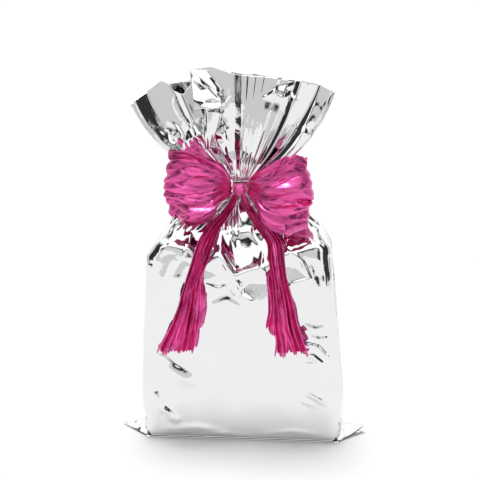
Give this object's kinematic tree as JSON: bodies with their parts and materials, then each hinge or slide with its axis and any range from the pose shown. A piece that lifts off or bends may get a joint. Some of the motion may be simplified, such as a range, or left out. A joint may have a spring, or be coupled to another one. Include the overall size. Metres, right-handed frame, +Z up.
{
  "type": "foil gift bag",
  "caption": "Filled bag of silver mirror film, gathered and tied at the neck with a crinkled paper ribbon bow, its mouth fanned open above the tie.",
  "frame": {"origin": "centre of the underside, on the surface the bag stands on", "axes": "+Z up from the base to the mouth; -Y towards the side with the bow; +X to the right seen from the front"},
  "size_m": [0.25, 0.0753, 0.368],
  "materials": {
    "film": "mirror-bright metallised film, creased",
    "ribbon": "crinkled twisted paper with a metallic sheen",
    "carton": "plain uncoated board"
  },
  "bodies": {
    "bag": {"front_film_panel": "film", "back_film_panel": "film", "bottom_weld": "film", "left_bottom_ear": "film", "right_bottom_ear": "film", "left_side_weld": "film", "right_side_weld": "film", "left_ear_weld": "film", "right_ear_weld": "film", "gathered_neck": "film", "front_ruffle": "film", "back_ruffle": "film", "left_mouth_weld": "film", "right_mouth_weld": "film", "ribbon_neck_wrap": "ribbon", "bow_knot": "ribbon", "carton_tray": "carton", "carton_lid": "carton"},
    "left_loop": {"left_bow_loop": "ribbon"},
    "right_loop": {"right_bow_loop": "ribbon"},
    "left_tail": {"left_ribbon_tail": "ribbon"},
    "right_tail": {"right_ribbon_tail": "ribbon"}
  },
  "joints": [
    {"name": "left_loop_flex", "type": "hinge", "parent": "bag", "child": "left_loop", "pos_m": [-0.0105, -0.016, 0.253], "axis": [0, 0, 1], "range_deg": [0, 20], "stiffness_Nm_per_rad": 0.004},
    {"name": "right_loop_flex", "type": "hinge", "parent": "bag", "child": "right_loop", "pos_m": [0.0055, -0.016, 0.253], "axis": [0, 0, -1], "range_deg": [0, 20], "stiffness_Nm_per_rad": 0.004},
    {"name": "left_tail_lift", "type": "hinge", "parent": "bag", "child": "left_tail", "pos_m": [-0.00605, -0.017, 0.2462], "axis": [-1, 0, 0], "range_deg": [0, 30]},
    {"name": "right_tail_lift", "type": "hinge", "parent": "bag", "child": "right_tail", "pos_m": [0.00105, -0.017, 0.2462], "axis": [-1, 0, 0], "range_deg": [0, 30]}
  ]
}
